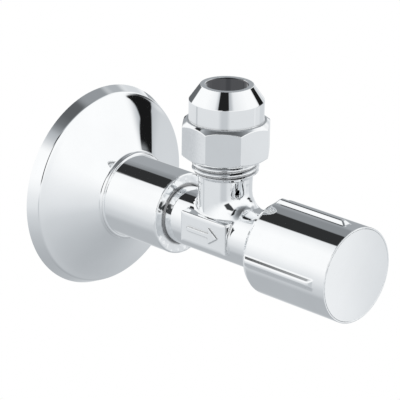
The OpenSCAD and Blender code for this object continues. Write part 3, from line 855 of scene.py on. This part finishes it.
def studio_color(tree):
    """Socket with the studio's brightness in the direction that a ray leaves."""
    ray = add_node(tree, "ShaderNodeTexCoord").outputs["Generated"]
    axes = add_node(tree, "ShaderNodeSeparateXYZ", {"Vector": ray}).outputs
    turned = math_node(tree, "ARCTAN2", axes["Y"], axes["X"])
    away = math.radians(CAMERA_AZIMUTH - 90)
    side = math_node(tree, "SUBTRACT", turned, away)
    side = math_node(tree, "MULTIPLY", side, 180 / math.pi)
    side = add_node(tree, "ShaderNodeMath", {0: side, 1: SIDE_START, 2: SIDE_START + 360},
                    operation="WRAP").outputs[0]
    height = math_node(tree, "MULTIPLY", math_node(tree, "ARCSINE", axes["Z"]), 180 / math.pi)
    ramp = add_node(tree, "ShaderNodeValToRGB",
                    {"Fac": remap(tree, height, 0.0, 1.0, -90.0, 90.0)})
    stops = ramp.color_ramp.elements
    for elevation, level in WALLS:
        position = (elevation + 90) / 180
        stop = {0: stops[0], 1: stops[-1]}.get(position) or stops.new(position)
        stop.color = display_level(level)
    color = ramp.outputs[0]
    place = add_node(tree, "ShaderNodeCombineXYZ", {0: side, 1: height, 2: 1.0}).outputs[0]
    for card in CARDS.values():
        mask = inside_mask(tree, place, card["corners"], card["soft"])
        mixed = add_node(tree, "ShaderNodeMix", {0: mask, 6: color}, data_type="RGBA")
        mixed.inputs[7].default_value = display_level(card["level"])
        color = mixed.outputs[2]
    return color


def make_studio():
    """Soft white studio: the camera sees plain white, and reflections see the cards."""
    world = bpy.data.worlds.new("studio")
    world.use_nodes = True
    tree = world.node_tree
    background = tree.nodes["Background"]
    sees = add_node(tree, "ShaderNodeLightPath").outputs["Is Camera Ray"]
    mixed = add_node(tree, "ShaderNodeMix", {0: sees, 6: studio_color(tree)},
                     data_type="RGBA")
    mixed.inputs[7].default_value = (1, 1, 1, 1)
    tree.links.new(mixed.outputs[2], background.inputs["Color"])
    lift = math_node(tree, "MULTIPLY_ADD", sees, 1 - REFLECTED_STRENGTH, REFLECTED_STRENGTH)
    tree.links.new(lift, background.inputs["Strength"])
    bpy.context.scene.world = world
    bpy.context.scene.view_settings.view_transform = "Standard"


def make_floor():
    """Plain pale floor below the valve, bright where the camera sees it."""
    size = 3.0
    z = FLOOR_Z * MM
    mesh = bpy.data.meshes.new("studio_floor")
    mesh.from_pydata([(-size, -size, z), (size, -size, z), (size, size, z), (-size, size, z)],
                     [], [(0, 1, 2, 3)])
    floor = add_object("studio_floor", mesh)
    material, tree, bsdf = new_material("pale_floor")
    tree.nodes.remove(bsdf)
    out = tree.nodes["Material Output"]
    sees = add_node(tree, "ShaderNodeLightPath").outputs["Is Camera Ray"]
    lit = add_node(tree, "ShaderNodeEmission", {"Color": (1, 1, 1, 1), "Strength": 1.0})
    clear = add_node(tree, "ShaderNodeBsdfTransparent")
    shader = add_node(tree, "ShaderNodeMixShader", {0: sees, 1: clear.outputs[0],
                                                    2: lit.outputs[0]})
    tree.links.new(shader.outputs[0], out.inputs["Surface"])
    finish_with(floor, material)


# ---------------------------------------------------------------- assembly

def build_visible_metal():
    """The chrome pieces, each on its body and in place of its CAD node."""
    plate = chrome("chrome_plate")
    # the body's chrome also gets the painted shade along its shoulder
    cast = chrome("chrome_on_forging", ripple=0.004, painted_shoulder_shade=True)
    # the nut's chrome gets painted shade inside its tube passage
    bored = chrome("chrome_with_painted_bore_shade", paint_bore_shade=True)
    body = object_from_field("valve_body_cast", body_field, BODY_LOW, BODY_HIGH, MERGE)
    nut = object_from_field("compression_nut_metal", nut_field, NUT_LOW, NUT_HIGH, 0.0)
    shell = object_from_field("handle_shell_metal", shell_field, SHELL_LOW, SHELL_HIGH, MERGE)
    rosette = make_rosette()
    for piece, node, rides_on, material in (
            (body, "valve_body", "valve", cast), (nut, "compression_nut", "nut", bored),
            (shell, "handle_shell", "handle", plate),
            (make_cap(), "handle_front_cap", "handle", plate),
            (rosette, "wall_rosette", "rosette", plate)):
        finish_with(piece, material)
        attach(piece, rides_on)
        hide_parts(node)
    for piece in (nut, rosette):
        piece.visible_glossy = False  # keeps the other chrome clear of its reflection


def finish_inner_parts():
    """Materials of the pieces inside, which keep their CAD shape."""
    brass = turned_metal("turned_brass", (0.72, 0.60, 0.40), (0.50, 0.40, 0.24))
    olive = turned_metal("ferrule_brass", (0.70, 0.60, 0.42), (0.48, 0.40, 0.26), 0.25)
    steel = turned_metal("zinc_steel", (0.62, 0.63, 0.64), (0.45, 0.46, 0.48), 0.3)
    rubber = moulded("black_rubber", (0.02, 0.02, 0.022), (0.045, 0.045, 0.048), 0.55, 6, 0.02)
    plastic = moulded("dark_nylon", (0.05, 0.052, 0.055), (0.09, 0.092, 0.095), 0.42, 4, 0.015)
    white = moulded("white_ptfe", (0.80, 0.80, 0.78), (0.66, 0.65, 0.62), 0.4, 3, 0.01)
    fibre = moulded("red_fibre", (0.42, 0.07, 0.05), (0.28, 0.05, 0.04), 0.75, 5, 0.03)
    uses = {"ferrule": olive, "headpart_body": brass, "stem": brass, "piston": brass,
            "stem_circlip": steel, "disc_washer": steel, "disc_screw": steel,
            "handle_screw": steel, "stem_o_rings": rubber, "piston_o_ring": rubber,
            "seat_washer": rubber, "handle_insert": plastic, "rosette_grip_ring": plastic,
            "inlet_seal_ring": white, "thrust_washer": white, "headpart_gasket": fibre}
    for node, material in uses.items():
        finish_with(frame["nodes"][node], material)
        frame["nodes"][node].visible_glossy = False


build_visible_metal()
finish_inner_parts()
make_studio()
make_floor()
make_camera()
